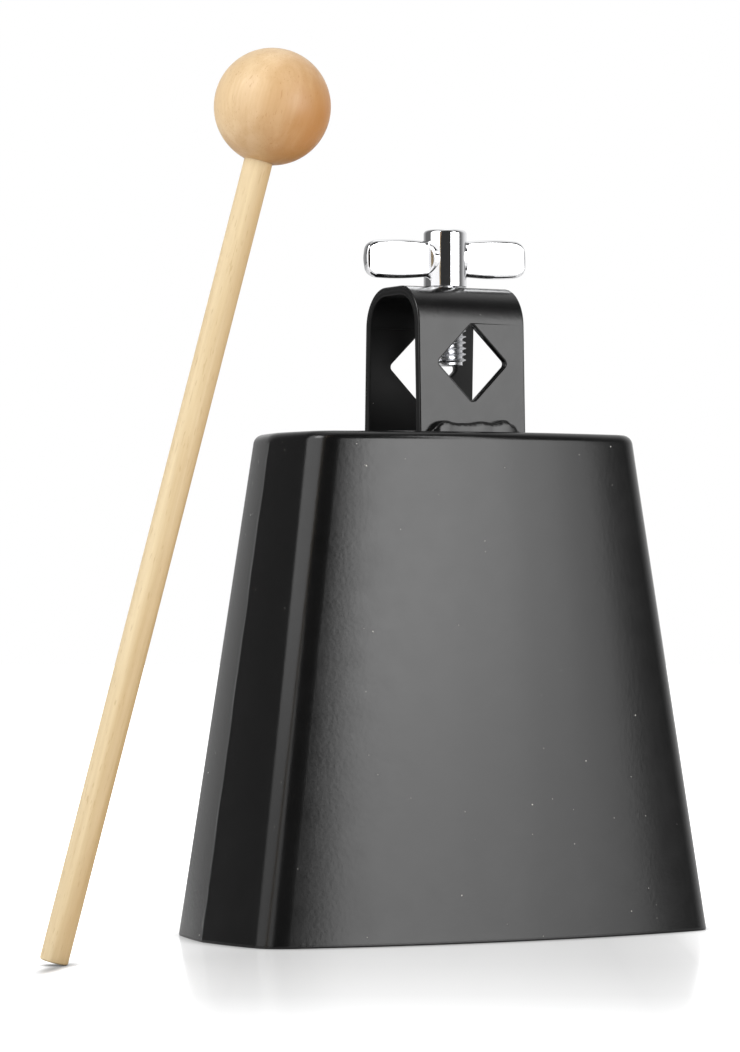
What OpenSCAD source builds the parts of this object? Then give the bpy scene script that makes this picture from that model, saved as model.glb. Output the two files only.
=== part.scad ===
// A single cowbell with a rod clamp on its crown, and the wooden mallet that is played on it.
// Millimetres, +Z up, the broad front of the bell faces -Y.
// The origin lies under the middle of the whole set, on the surface that the set stands on.

/* [Bell body] */
// Height of the bell from its mouth to its crown
body_h = 127; // [100:1:170]
// Width of the mouth, over the steel
mouth_w = 137.4; // [112:0.2:170]
// Depth of the mouth from front to back, over the steel
mouth_d = 70; // [60:0.2:90]
// Width of the crown, over the steel
crown_w = 99; // [80:0.2:112]
// Depth of the crown from front to back, over the steel
crown_d = 51; // [46:0.2:66]
// Thickness of the sheet steel
sheet_t = 1.2; // [0.8:0.1:2]
// Radius of the four upright corners, outside
corner_r = 9; // [6:0.1:12]
// Radius of the fold round the crown, outside
fold_r = 2.2; // [1.8:0.1:5]
// Angle that each broad face bows through, from its middle to its corner
face_bow = 13.2; // [8:0.1:15]
// Angle by which a narrow side has turned in at its front corner
front_corner_turn = 14.3; // [10:0.1:18]
// Angle by which it has turned in at the seam, in front of the seam
front_seam_turn = 4; // [1:0.1:7]
// Angle by which it has turned in at its rear corner
rear_corner_turn = 14; // [11:0.1:18]
// Angle by which it has turned in at the seam, behind the seam
rear_seam_turn = 8; // [4:0.1:10]

/* [Welds] */
// Width of the ground seam down each narrow side
seam_w = 3; // [2:0.1:4]
// How far the ground seam stands proud of the side
seam_proud = 0.2; // [0.1:0.05:0.4]
// How far each end of the seam stops short of the rim and of the fold
seam_margin = 1.5; // [0.5:0.1:6]
// Leg of the fillet welds at the bracket's feet
fillet_leg = 3.3; // [2:0.1:4.5]
// Length of the fillet welds
fillet_len = 25.4; // [18:0.2:29]

/* [Mounting bracket] */
// How far the bracket and its screw stand to the right of the bell's middle
bracket_aside = 0.5; // [-1:0.1:1]
// Width of the strap that the bracket is bent from
strap_w = 30.8; // [26:0.2:38]
// Thickness of the strap
strap_t = 2.4; // [1.8:0.1:3]
// Depth of the bracket over the feet of its two legs
bracket_d = 30.2; // [27:0.2:34]
// How far each leg's foot stands out from the top of the leg
leg_flare = 0.85; // [0:0.05:1.5]
// Height of the bracket's crest above the crown
bracket_h = 37.9; // [36.6:0.1:46]
// Radius of the bends at the crest, outside
bend_r = 10.2; // [8:0.1:12]
// Side of the square rod hole, which stands on its corner in each leg
rod_hole = 14.3; // [12:0.1:15]
// Radius in the corners of the rod hole
rod_hole_r = 1.2; // [0.6:0.1:2]
// Height of the rod hole's centre above the crown
rod_axis_h = 18.1; // [17:0.1:20]
// Wall of the tapped collar that is drawn down from the crest
collar_wall = 1.4; // [1:0.1:2]
// How far the tapped collar reaches below the crest's inner face
collar_drop = 3.6; // [2:0.1:5]

/* [Wing screw] */
// Outside diameter of the thread
thread_d = 10.7; // [9:0.1:12]
// Pitch of the thread
thread_pitch = 1.5; // [1:0.05:1.75]
// Length of the thread below the top of the crest
thread_len = 19.8; // [14:0.1:22]
// Diameter of the plain chromed head
head_d = 11.1; // [10.9:0.1:12.6]
// Height of the head
head_h = 14.6; // [13:0.1:20]
// Radius round the top of the head
head_round = 1; // [0.4:0.1:2]
// Gap between the head and the crest when the screw is run right down
head_gap = 0.3; // [0.2:0.05:0.6]
// Height of the wing bar's axis above the head's foot
wing_axis_h = 6.9; // [6.6:0.1:8]
// Span of the wing bar from tip to tip
wing_span = 45; // [36:0.5:60]
// Height of the wings at their middle
wing_h = 10; // [9:0.1:11]
// Height of the wings where they leave the head
wing_root_h = 9.1; // [8:0.1:9.5]
// Thickness of the wings
wing_t = 3.2; // [2.4:0.1:4.5]
// Wall that the wing bar's cross hole leaves on the head
cross_wall = 1.2; // [0.8:0.05:1.8]
// Angle that the wing bar is turned from the bell's width, seen from above
wing_turn = -4.5; // [-90:0.5:90]
// Angle by which the wing bar rises towards its right end
wing_tilt = 1.8; // [-2:0.1:3]

/* [Mallet] */
// Diameter of the ball head
ball_d = 27.4; // [22:0.1:40]
// Diameter of the stick
stick_d = 6.75; // [5:0.05:9]
// Length of the mallet from the stick's foot to the top of the ball
mallet_len = 219.8; // [150:0.2:300]
// Depth of the ball's socket for the stick
socket_depth = 18; // [10:0.5:20]
// Radius round the foot of the stick
stick_round = 0.5; // [0.2:0.1:1.2]
// How far the mallet leans from upright
mallet_lean = 14.3; // [5:0.1:20]
// Direction of the lean, turned from the bell's width
mallet_heading = -28; // [-40:0.5:-5]
// Distance of the stick's foot beyond the left end of the mouth
mallet_aside = 58.2; // [45:0.1:90]
// Distance of the stick's foot in front of the bell's middle
mallet_ahead = 41.5; // [30:0.1:80]

/* [Hidden] */
$fn = 64;

// Clearances
overrun = 1;            // how far a cut runs past what it cuts
running_fit = 0.05;     // radial clearance of the stud in its collar and in the head
press_seat = 0.03;      // radial clearance of the wing bar in the head, and of the stick in the ball

// Steps along the arcs of the body
face_steps = 6;
corner_steps = 8;
side_steps = 4;
fold_steps = 6;

// Steps along the lofted small parts
seam_arc_steps = 4;
fillet_arc_steps = 8;
wing_ring_steps = 28;
wing_steps = 16;

// Stud and head
thread_depth_share = 0.61;                       // depth of a thread as a share of its pitch
thread_root_r = thread_d / 2 - thread_depth_share * thread_pitch;
thread_turns = floor(thread_len / thread_pitch) - 1;
spigot_d_share = 0.55;
spigot_d = spigot_d_share * head_d;
spigot_h_share = 0.7;                            // share of the steel under the cross hole
wing_core_d = head_d - 2 * cross_wall;
spigot_h = spigot_h_share * (wing_axis_h - wing_core_d / 2);
bend_y = bracket_d / 2 - leg_flare - bend_r;     // centre of a bend, from the middle of the bracket
bend_z = bracket_h - bend_r;
leg_slope = atan2(leg_flare + bend_r, bend_z) - asin(bend_r / norm([leg_flare + bend_r, bend_z]));
bore_d = thread_d + 2 * running_fit;
collar_d = bore_d + 2 * collar_wall;

// Wing bar
wing_core_reach_share = 1.1;                     // how far the round core reaches, in head radii
wing_core_reach = wing_core_reach_share * head_d / 2;
wing_tip_power = 7;                              // how square the tips are in side view
wing_edge_power = 3;                             // how square the wings are in section
wing_last_share = 0.995;                         // place of a wing's last ring, along its length

// Lengthwise swelling of a fillet weld, as shares of its leg from one end to the other
fillet_shares = [0.25, 0.8, 1, 1.02, 0.9, 0.84, 0.82, 0.84, 0.82, 0.88, 0.98, 1, 0.94, 0.86,
                 0.98, 1.12, 1.14, 1, 0.72, 0.25];

// Mallet, its axis and the places that follow from it
ball_r = ball_d / 2;
stick_r = stick_d / 2;
stick_len = mallet_len - ball_d + socket_depth;
ball_up = mallet_len - ball_r;
lean_x = sin(mallet_lean) * cos(mallet_heading);
lean_y = sin(mallet_lean) * sin(mallet_heading);
foot_z = stick_round + (stick_r - stick_round) * sin(mallet_lean)
    - stick_round * cos(mallet_lean);

// Place of the mallet's foot from the bell's axis, and the box of the whole set
foot_dx = -mouth_w / 2 - mallet_aside;
foot_dy = -mallet_ahead;
set_left = foot_dx + stick_round * lean_x - stick_round
    - (stick_r - stick_round) * sqrt(1 - pow(lean_x, 2));
set_right = mouth_w / 2;
set_front = foot_dy + ball_up * lean_y - ball_r;
set_back = mouth_d / 2;
bell_x = -(set_left + set_right) / 2;
bell_y = -(set_front + set_back) / 2;

// One closed solid through rings of points. Each ring turns right-handed about the way
// in which the rings follow each other. Both ends are fans from a ring's first point, which
// must see the ring's other points, as any point of a convex ring does.
module loft(rings) {
    n = len(rings[0]);
    last = len(rings) - 1;
    sides = [for (k = [0 : last - 1], i = [0 : n - 1])
        let (a = k * n + i, b = k * n + (i + 1) % n)
            each [[a, a + n, b + n], [a, b + n, b]]];
    foot = [for (i = [1 : n - 2]) [0, i, i + 1]];
    top = [for (i = [1 : n - 2]) [last * n, last * n + i + 1, last * n + i]];
    polyhedron(points = [for (ring = rings) each ring], faces = concat(foot, sides, top));
}

// Radii of the broad and of the narrow arc that, with a corner arc of radius r, make a quarter
// of a section. The narrow arc runs from the angle join at the corner to the angle meet at the
// seam.
function bow_radii(w, d, r, join, meet) =
    let (a = sin(face_bow), b = sin(meet) - sin(join),
         c = 1 - cos(face_bow), e = cos(join) - cos(meet),
         m = w - r * sin(join) + r * sin(face_bow),
         n = d - r * cos(face_bow) + r * cos(join),
         det = a * e - b * c)
    [(m * e - b * n) / det, (a * n - c * m) / det];

// A quarter of a section, from the middle of the front to the seam on the right side
function quarter(w, d, r, corner_turn, seam_turn) =
    let (join = 90 - corner_turn, meet = 90 - seam_turn,
         radii = bow_radii(w, d, r, join, meet), broad = radii[0], narrow = radii[1],
         corner_x = (broad - r) * sin(face_bow),
         corner_y = broad - d - (broad - r) * cos(face_bow))
    [for (i = [0 : face_steps - 1])
         let (t = face_bow * i / face_steps)
             [broad * sin(t), broad * (1 - cos(t)) - d],
     for (i = [0 : corner_steps - 1])
         let (t = face_bow + (join - face_bow) * i / corner_steps)
             [corner_x + r * sin(t), corner_y - r * cos(t)],
     for (i = [0 : side_steps])
         let (t = join + (meet - join) * i / side_steps)
             [w + narrow * (sin(t) - sin(meet)), narrow * (cos(meet) - cos(t))]];

// The whole section, turning from the front to the right
function section(w, d, r) =
    let (front = quarter(w, d, r, front_corner_turn, front_seam_turn),
         rear = quarter(w, d, r, rear_corner_turn, rear_seam_turn),
         n = len(front))
    concat(front,
           [for (i = [n - 2 : -1 : 0]) [rear[i][0], -rear[i][1]]],
           [for (i = [1 : n - 1]) [-rear[i][0], -rear[i][1]]],
           [for (i = [n - 2 : -1 : 1]) [-front[i][0], front[i][1]]]);

// Half the width and half the depth of the body's outside at a height
function half_w(z) = (mouth_w + (crown_w - mouth_w) * z / body_h) / 2;
function half_d(z) = (mouth_d + (crown_d - mouth_d) * z / body_h) / 2;

// A ring of the body at a height, drawn in by an inset
function body_ring(z, inset) =
    [for (p = section(half_w(z) - inset, half_d(z) - inset, corner_r - inset))
        [p[0], p[1], z]];

// The rings of a fold of radius r under a flat top, from the wall up
function fold_rings(top_z, r, wall_inset) =
    [for (k = [0 : fold_steps])
        let (t = 90 * k / fold_steps)
            body_ring(top_z - r * (1 - sin(t)), wall_inset + r * (1 - cos(t)))];

function backwards(list) = [for (i = [len(list) - 1 : -1 : 0]) list[i]];

module at_bell() {
    translate([bell_x, bell_y, 0]) children();
}

// The bracket's own place: between its feet, on the crown
module at_crown() {
    at_bell() translate([bracket_aside, 0, body_h]) children();
}

// The clamp's own place: on the screw's axis, level with the top of the bracket
module at_crest() {
    at_crown() translate([0, 0, bracket_h]) children();
}

// The wing bar's own place: its middle, with the bar along X
module at_wings() {
    at_crest() translate([0, 0, head_gap + wing_axis_h]) rotate([0, -wing_tilt, wing_turn]) children();
}

// The mallet's own place: the middle of the stick's foot, with the stick along Z
module at_mallet() {
    translate([bell_x + foot_dx, bell_y + foot_dy, foot_z])
        rotate([0, mallet_lean, mallet_heading])
            children();
}

// Folded sheet body: up the inside from the crown to the rim, then down the outside
module bell_body() {
    inside = backwards(fold_rings(body_h - sheet_t, fold_r - sheet_t, sheet_t));
    outside = fold_rings(body_h, fold_r, 0);
    color("#2b2b2b")
        at_bell()
            loft(concat(inside, [body_ring(0, sheet_t), body_ring(0, 0)], outside));
}

// How fast a narrow side draws in beside its seam, along the facet that starts there
function side_slope(corner_turn, seam_turn) =
    tan(seam_turn + (corner_turn - seam_turn) / (2 * side_steps));

// A ring of the seam weld, lying on the two facets that meet at the crease, where it starts
function seam_ring(z) =
    let (x = half_w(z),
         front = side_slope(front_corner_turn, front_seam_turn) * seam_w / 2,
         rear = side_slope(rear_corner_turn, rear_seam_turn) * seam_w / 2)
    concat([[x, 0, z]],
           [for (i = [0 : seam_arc_steps])
                let (t = 180 * i / seam_arc_steps - 90, drop = t < 0 ? front : rear)
                    [x - drop + (drop + seam_proud) * cos(t), sin(t) * seam_w / 2, z]]);

module seam_weld() {
    loft([seam_ring(seam_margin), seam_ring(body_h - fold_r - seam_margin)]);
}

module right_seam_weld() {
    color("#333333") at_bell() seam_weld();
}

module left_seam_weld() {
    color("#333333") at_bell() mirror([1, 0, 0]) seam_weld();
}

// Side view of the bracket: depth along X, height along Y. Each leg slopes from its foot to the
// point where it meets its bend.
module strap_outline(inset, foot) {
    r = bend_r - inset;
    foot_y = bend_y + (r + (bend_z + foot) * sin(leg_slope)) / cos(leg_slope);
    half = [[foot_y, -foot],
            [bend_y + r * cos(leg_slope), bend_z + r * sin(leg_slope)],
            [bend_y, bend_z + r]];
    polygon(concat(half, [for (i = [len(half) - 1 : -1 : 0]) [-half[i][0], half[i][1]]]));
    for (side = [-1, 1])
        translate([side * bend_y, bend_z]) circle(r = r);
}

// Outline of the rod hole, a square with round corners that stands on one of them
module rod_hole_outline() {
    flat = rod_hole - 2 * rod_hole_r;
    rotate(45) {
        square([rod_hole, flat], center = true);
        square([flat, rod_hole], center = true);
        for (x = [-1, 1], y = [-1, 1])
            translate([x * flat / 2, y * flat / 2]) circle(r = rod_hole_r);
    }
}

module mount_bracket() {
    color("#303030")
        at_crown()
            difference() {
                union() {
                    rotate([90, 0, 90])
                        linear_extrude(strap_w, center = true)
                            difference() {
                                strap_outline(0, 0);
                                strap_outline(strap_t, overrun);
                            }
                    translate([0, 0, bracket_h - strap_t - collar_drop])
                        cylinder(d = collar_d, h = collar_drop + strap_t / 2);
                }
                translate([0, 0, rod_axis_h])
                    rotate([90, 0, 0])
                        linear_extrude(bracket_d + 2 * overrun, center = true)
                            rod_hole_outline();
                translate([0, 0, bracket_h - strap_t - collar_drop - overrun])
                    cylinder(d = bore_d, h = collar_drop + strap_t + 2 * overrun);
            }
}

// A ring of a fillet weld in the corner of the front leg and the crown, with legs of length leg.
// It leans back with the bracket's leg.
function fillet_ring(x, leg) =
    concat([[x, -bracket_d / 2, body_h]],
           [for (i = [0 : fillet_arc_steps])
                let (t = 90 * i / fillet_arc_steps, up = leg * cos(t))
                    [x, up * tan(leg_slope) - bracket_d / 2 - leg * sin(t), body_h + up]]);

module fillet_weld() {
    n = len(fillet_shares) - 1;
    loft([for (i = [0 : n])
        fillet_ring(fillet_len * (i / n - 1 / 2), fillet_leg * fillet_shares[i])]);
}

module front_bracket_weld() {
    color("#3a3a3a") at_bell() fillet_weld();
}

module rear_bracket_weld() {
    color("#3a3a3a") at_bell() rotate([0, 0, 180]) fillet_weld();
}

// The thread is drawn as rings one pitch apart, with a lead-in at the tip and a plain neck
module threaded_stud() {
    crest_r = thread_d / 2;
    start_z = -thread_pitch * thread_turns;
    rings = [for (i = [0 : thread_turns - 1])
        let (z = start_z + thread_pitch * i)
            each [[thread_root_r, z], [crest_r, z + thread_pitch / 2]]];
    profile = concat([[0, -thread_len], [thread_root_r, -thread_len]],
                     rings,
                     [[thread_root_r, 0], [spigot_d / 2, 0],
                      [spigot_d / 2, head_gap + spigot_h], [0, head_gap + spigot_h]]);
    color("#c8c8cc") at_crest() rotate_extrude() polygon(profile);
}

module screw_head() {
    r = head_d / 2;
    color("#e2e2e6")
        at_crest() translate([0, 0, head_gap])
            difference() {
                rotate_extrude() {
                    square([r - head_round, head_h]);
                    square([r, head_h - head_round]);
                    translate([r - head_round, head_h - head_round]) circle(r = head_round);
                }
                translate([0, 0, -overrun])
                    cylinder(r = spigot_d / 2 + running_fit,
                             h = overrun + spigot_h + running_fit);
                translate([0, 0, wing_axis_h])
                    rotate([0, 90 - wing_tilt, wing_turn])
                        cylinder(r = wing_core_d / 2 + press_seat, h = 2 * head_d,
                                 center = true);
            }
}

// A ring of the wing at share t of its length from the core outwards
function wing_ring(t) =
    let (x = wing_core_reach + (wing_span / 2 - wing_core_reach) * t,
         tip = sqrt(1 - pow(t, wing_tip_power)),
         high = tip * (wing_root_h + (wing_h - wing_root_h) * sin(180 * t)) / 2,
         thick = tip * wing_t / 2)
    [for (i = [0 : wing_ring_steps - 1])
        let (a = 360 * i / wing_ring_steps)
            [x,
             thick * sign(cos(a)) * pow(abs(cos(a)), 2 / wing_edge_power),
             high * sign(sin(a)) * pow(abs(sin(a)), 2 / wing_edge_power)]];

// One wing, with its rings closer together towards the tip
module wing() {
    loft([for (k = [0 : wing_steps]) wing_ring(wing_last_share * sin(90 * k / wing_steps))]);
}

module wing_bar() {
    color("#ececf0")
        at_wings() {
            rotate([0, 90, 0])
                cylinder(d = wing_core_d, h = 2 * wing_core_reach, center = true);
            wing();
            rotate([0, 0, 180]) wing();
        }
}

module mallet_head() {
    color("#dfbd88")
        at_mallet() translate([0, 0, ball_up])
            difference() {
                sphere(r = ball_r);
                translate([0, 0, -ball_r - overrun])
                    cylinder(r = stick_r + press_seat, h = socket_depth + overrun + press_seat);
            }
}

module mallet_stick() {
    color("#e8cf9f")
        at_mallet()
            rotate_extrude() {
                translate([0, stick_round]) square([stick_r, stick_len - stick_round]);
                square([stick_r - stick_round, stick_len]);
                translate([stick_r - stick_round, stick_round]) circle(r = stick_round);
            }
}

bell_body();
left_seam_weld();
right_seam_weld();
mount_bracket();
front_bracket_weld();
rear_bracket_weld();
threaded_stud();
screw_head();
wing_bar();
mallet_head();
mallet_stick();
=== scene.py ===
# %% [markdown]
# # A cowbell with a rod clamp, and its mallet
#
# The real object is a folded and welded sheet steel bell with a satin black powder coat. A bent
# strap on its crown clamps it to a rod with a chromed wing screw, and a wooden ball mallet stands
# beside it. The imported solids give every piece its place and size. This script rebuilds each
# visible piece around them with finer forms and procedural finishes.

from math import asin, atan, atan2, cos, exp, hypot, pi, radians, sin, sqrt, tan

import bmesh
import bpy
from mathutils import Matrix, Vector


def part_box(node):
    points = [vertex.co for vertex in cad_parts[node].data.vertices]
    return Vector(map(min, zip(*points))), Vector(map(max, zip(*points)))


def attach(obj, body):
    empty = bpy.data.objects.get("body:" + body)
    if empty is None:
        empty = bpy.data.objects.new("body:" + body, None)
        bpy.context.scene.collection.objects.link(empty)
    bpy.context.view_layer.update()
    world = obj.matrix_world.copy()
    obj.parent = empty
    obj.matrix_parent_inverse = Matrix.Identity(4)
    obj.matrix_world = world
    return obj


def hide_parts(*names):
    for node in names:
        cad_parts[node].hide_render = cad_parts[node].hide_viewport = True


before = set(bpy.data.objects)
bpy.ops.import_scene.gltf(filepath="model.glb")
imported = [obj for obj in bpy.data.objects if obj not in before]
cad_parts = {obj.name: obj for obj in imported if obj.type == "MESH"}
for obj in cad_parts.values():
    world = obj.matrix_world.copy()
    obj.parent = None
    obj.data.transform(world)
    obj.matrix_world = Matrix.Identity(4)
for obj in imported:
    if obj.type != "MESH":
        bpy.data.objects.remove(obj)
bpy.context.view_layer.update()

# %% [markdown]
# ## Shared sizes and helpers
#
# Sizes are written in millimetres and turned into metres by one factor. The bell's place and height
# come from the imported model. The bracket's bend is set here too, because the shade painted into its
# recess follows it.

# %% The bell's place and the bracket's bend
MM = 0.001
TOUCH = 1e-6
bell_low, bell_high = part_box("bell_body")
bell_axis = Vector(((bell_low.x + bell_high.x) / 2, (bell_low.y + bell_high.y) / 2, 0))
body_h = (bell_high.z - bell_low.z) / MM
bracket_d, bracket_h, bend_r, leg_flare = 30.2, 37.9, 10.2, 0.85
bend_y, bend_z = bracket_d / 2 - leg_flare - bend_r, bracket_h - bend_r
print("bell", round(body_h, 2), "high on the axis", [round(v / MM, 2) for v in bell_axis])

# %% [markdown]
# A piece is built in a bmesh, which keeps every modelling step an operator call, and then becomes
# an object that rides on a body, takes its material and hides the CAD node that it stands for.

# %% Helpers for pieces
def mm(*values):
    """A point given in millimetres."""
    return Vector(values) * MM


def new_object(name, bm):
    """An object at the origin that holds the bmesh."""
    mesh = bpy.data.meshes.new(name)
    bm.to_mesh(mesh)
    bm.free()
    piece = bpy.data.objects.new(name, mesh)
    bpy.context.scene.collection.objects.link(piece)
    return piece


def shade(piece, sharp_angle):
    """Smooth shading that keeps edges sharper than the angle, in degrees."""
    piece.data.shade_smooth()
    piece.data.set_sharp_from_angle(angle=radians(sharp_angle))


def finish_piece(piece, body, slot, material, *nodes):
    """Gives a piece its material and body, and hides the CAD nodes it stands for. slot is not used."""
    piece.data.materials.clear()
    piece.data.materials.append(material)
    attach(piece, body)
    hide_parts(*nodes)
    print(piece.name, len(piece.data.polygons), "faces, stands for", ", ".join(nodes))


def tidy_mesh(bm):
    """Merges doubled vertices and points the faces outwards."""
    bmesh.ops.remove_doubles(bm, verts=bm.verts[:], dist=TOUCH)
    bmesh.ops.recalc_face_normals(bm, faces=bm.faces[:])


def round_edges(bm, edges, radius, segments, clamp=False):
    """Rounds the edges to a radius in millimetres."""
    bmesh.ops.bevel(bm, geom=edges, offset=radius * MM, offset_type="OFFSET", segments=segments,
                    profile=0.5, affect="EDGES", material=-1, clamp_overlap=clamp)


def soften(bm, radius, segments, sharper_than):
    """Rounds every edge that turns by more than the angle, in degrees."""
    edges = [e for e in bm.edges if e.is_manifold and e.calc_face_angle() > radians(sharper_than)]
    round_edges(bm, edges, radius, segments, clamp=True)


def even_shading(piece):
    """Weighs the normals by face size, so a broad face reflects evenly up to its rounded edge."""
    piece.modifiers.new("even shading", "WEIGHTED_NORMAL").keep_sharp = True


def verts_of(made):
    """The vertices among the elements that an operator returns."""
    return [g for g in made if isinstance(g, bmesh.types.BMVert)]


def edges_of(made):
    """The edges between new vertices, among the elements that an extrusion returns."""
    return [g for g in made if isinstance(g, bmesh.types.BMEdge) and all(v in made for v in g.verts)]


def chain(bm, points, closed):
    """New vertices at the points, and the edges that join them in order."""
    verts = [bm.verts.new(point) for point in points]
    pairs = zip(verts, verts[1:] + verts[:1] if closed else verts[1:])
    return verts, [bm.edges.new(pair) for pair in pairs]


def loft(bm, rings):
    """Extrudes a closed ring from each list of points to the next, and returns the last ring."""
    edges = chain(bm, rings[0], closed=True)[1]
    for ring in rings[1:]:
        made = bmesh.ops.extrude_edge_only(bm, edges=edges)["geom"]
        for v, point in zip(verts_of(made), ring):
            v.co = point
        edges = edges_of(made)
    return edges


def carve(piece, tool, operation="DIFFERENCE"):
    """Cuts or joins one solid with another, applies the result and removes the tool."""
    cut = piece.modifiers.new("carve", "BOOLEAN")
    cut.operation, cut.solver, cut.object = operation, "EXACT", tool
    bpy.context.view_layer.update()
    shaped = piece.evaluated_get(bpy.context.evaluated_depsgraph_get())
    mesh = bpy.data.meshes.new_from_object(shaped)
    piece.modifiers.clear()
    old, piece.data = piece.data, mesh
    bpy.data.meshes.remove(old)
    bpy.data.objects.remove(tool)


def reopen(piece):
    """The piece's mesh as a bmesh, with its doubles merged."""
    bm = bmesh.new()
    bm.from_mesh(piece.data)
    tidy_mesh(bm)
    return bm


def close_up(piece, bm):
    """Writes a reopened bmesh back into its piece."""
    bm.to_mesh(piece.data)
    bm.free()


# %% [markdown]
# ## Finishes
#
# A helper adds one shader node with its sockets, so a finish reads as a short list of steps. All
# patterns use Object coordinates in metres, which is why the texture scales look large.

# %% Helpers for materials
def add_node(tree, kind, sockets=None, **settings):
    """One node. A socket takes a value, or a link when the value is another node's output."""
    made = tree.nodes.new(kind)
    for key, value in settings.items():
        setattr(made, key, value)
    for key, value in (sockets or {}).items():
        if isinstance(value, bpy.types.NodeSocket):
            tree.links.new(value, made.inputs[key])
        else:
            made.inputs[key].default_value = value
    return made


def new_material(name, **sockets):
    """A material with one Principled shader, and the Object coordinates."""
    material = bpy.data.materials.new(name)
    material.use_nodes = True
    tree = material.node_tree
    tree.nodes.clear()
    shader = add_node(tree, "ShaderNodeBsdfPrincipled", sockets)
    add_node(tree, "ShaderNodeOutputMaterial", {"Surface": shader.outputs[0]})
    place = add_node(tree, "ShaderNodeTexCoord").outputs["Object"]
    return material, tree, shader, place


def noise(tree, place, size, detail=2.0, rough=0.5, distortion=0.0):
    """Noise whose lumps are about size millimetres across."""
    return add_node(tree, "ShaderNodeTexNoise",
                    {"Vector": place, "Scale": 1 / (size * MM), "Detail": detail,
                     "Roughness": rough, "Distortion": distortion}).outputs["Fac"]


def ramp(tree, value, low, high, from_low=0.0, from_high=1.0):
    """A number that runs from low to high as value runs between its own limits."""
    return add_node(tree, "ShaderNodeMapRange",
                    {"Value": value, "From Min": from_low, "From Max": from_high,
                     "To Min": low, "To Max": high}).outputs["Result"]


def blend_colour(tree, factor, first, second):
    """Mixes two colours, each a value or an output."""
    mixed = add_node(tree, "ShaderNodeMix", {"Factor": factor}, data_type="RGBA")
    for index, colour in ((6, first), (7, second)):
        if isinstance(colour, bpy.types.NodeSocket):
            tree.links.new(colour, mixed.inputs[index])
        else:
            mixed.inputs[index].default_value = (*colour, 1)
    return mixed.outputs[2]


def maths(tree, operation, first, second=0.0):
    """One arithmetic step on numbers."""
    made = add_node(tree, "ShaderNodeMath", {0: first, 1: second}, operation=operation)
    return made.outputs[0]


def bump(tree, height, distance, normal=None):
    """Turns a height into a relief that is distance millimetres deep."""
    sockets = {"Height": height, "Distance": distance * MM, "Strength": 1.0}
    if normal is not None:
        sockets["Normal"] = normal
    return add_node(tree, "ShaderNodeBump", sockets).outputs["Normal"]


# %% [markdown]
# ## Black powder coat
#
# Powder coat is melted plastic dust. It has a fine orange peel relief, a satin gloss that varies a
# little, and here and there a speck of dust under the film. The relief is two layers of noise, and
# the specks are the centres of Voronoi cells, of which only a few are let through.

# %% The coat
def specks(tree, place, spacing, size, share):
    """1 on small round specks, one in each cell that a share lets through, and 0 elsewhere."""
    cells = add_node(tree, "ShaderNodeTexVoronoi",
                     {"Vector": place, "Scale": 1 / (spacing * MM), "Randomness": 1.0})
    inside = ramp(tree, cells.outputs["Distance"], 1.0, 0.0, 0.4 * size / spacing, 0.6 * size / spacing)
    chance = add_node(tree, "ShaderNodeSeparateColor", {0: cells.outputs["Color"]}).outputs[0]
    chosen = maths(tree, "LESS_THAN", chance, share)
    return maths(tree, "MULTIPLY", inside, chosen)


def powder_coat(name, dark, light, gloss_low, gloss_high, speck_share, inside=None):
    """Satin black powder coat, orange peel, sparse specks; duller as painted shade where inside gives 1.
    """
    material, tree, shader, place = new_material(name, IOR=1.5)
    cloud = noise(tree, place, 18, 3, 0.6)
    film = blend_colour(tree, cloud, (dark,) * 3, (light,) * 3)
    dust = maths(tree, "ADD", specks(tree, place, 4.2, 0.38, speck_share),
                 specks(tree, place, 2.1, 0.2, speck_share))
    tree.links.new(blend_colour(tree, dust, film, (0.6, 0.58, 0.54)), shader.inputs["Base Color"])
    patch = noise(tree, place, 6, 4, 0.6)
    gloss = ramp(tree, patch, gloss_low, gloss_high, 0.3, 0.7)
    gloss = maths(tree, "ADD", gloss, maths(tree, "MULTIPLY", dust, 0.2))
    # Painted shade: where inside gives 1 the coat is rougher and reflects less, so it reads darker.
    if inside:
        recess_dimming = inside(tree, place)
        gloss = maths(tree, "ADD", gloss, maths(tree, "MULTIPLY", recess_dimming, 0.3))
        tree.links.new(ramp(tree, recess_dimming, 0.5, 0.2), shader.inputs["Specular IOR Level"])
    tree.links.new(gloss, shader.inputs["Roughness"])
    peel = maths(tree, "ADD", noise(tree, place, 1.1, 1, 0.4),
                 maths(tree, "MULTIPLY", noise(tree, place, 0.35, 1, 0.4), 0.35))
    relief = bump(tree, peel, 0.012)
    relief = bump(tree, dust, 0.05, relief)
    tree.links.new(relief, shader.inputs["Normal"])
    return material


# The bracket's recess gets painted shade: a duller coat that reflects less between its legs.
inside_r, inside_blend = 9.0, 0.4


def painted_recess_shade(tree, place):
    """1 between the bracket's legs, where shade is painted into the coat, and 0 outside."""
    at = add_node(tree, "ShaderNodeSeparateXYZ", {0: place}).outputs
    depth = maths(tree, "ABSOLUTE", maths(tree, "SUBTRACT", at["Y"], bell_axis.y))
    beyond = maths(tree, "MAXIMUM", maths(tree, "SUBTRACT", depth, bend_y * MM), 0.0)
    above = maths(tree, "MAXIMUM", maths(tree, "SUBTRACT", at["Z"], (body_h + bend_z) * MM), 0.0)
    reach = maths(tree, "SQRT", maths(tree, "ADD", maths(tree, "MULTIPLY", beyond, beyond),
                                      maths(tree, "MULTIPLY", above, above)))
    return ramp(tree, reach, 1.0, 0.0, (inside_r - inside_blend) * MM, (inside_r + inside_blend) * MM)


body_paint = powder_coat("body_powder_coat", 0.0032, 0.0055, 0.18, 0.22, 0.13)
bracket_paint = powder_coat("bracket_powder_coat", 0.0035, 0.0060, 0.19, 0.24, 0.07, painted_recess_shade)
weld_paint = powder_coat("weld_powder_coat", 0.005, 0.009, 0.20, 0.28, 0.10)
print("powder coats", body_paint.name, bracket_paint.name, weld_paint.name)

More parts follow.
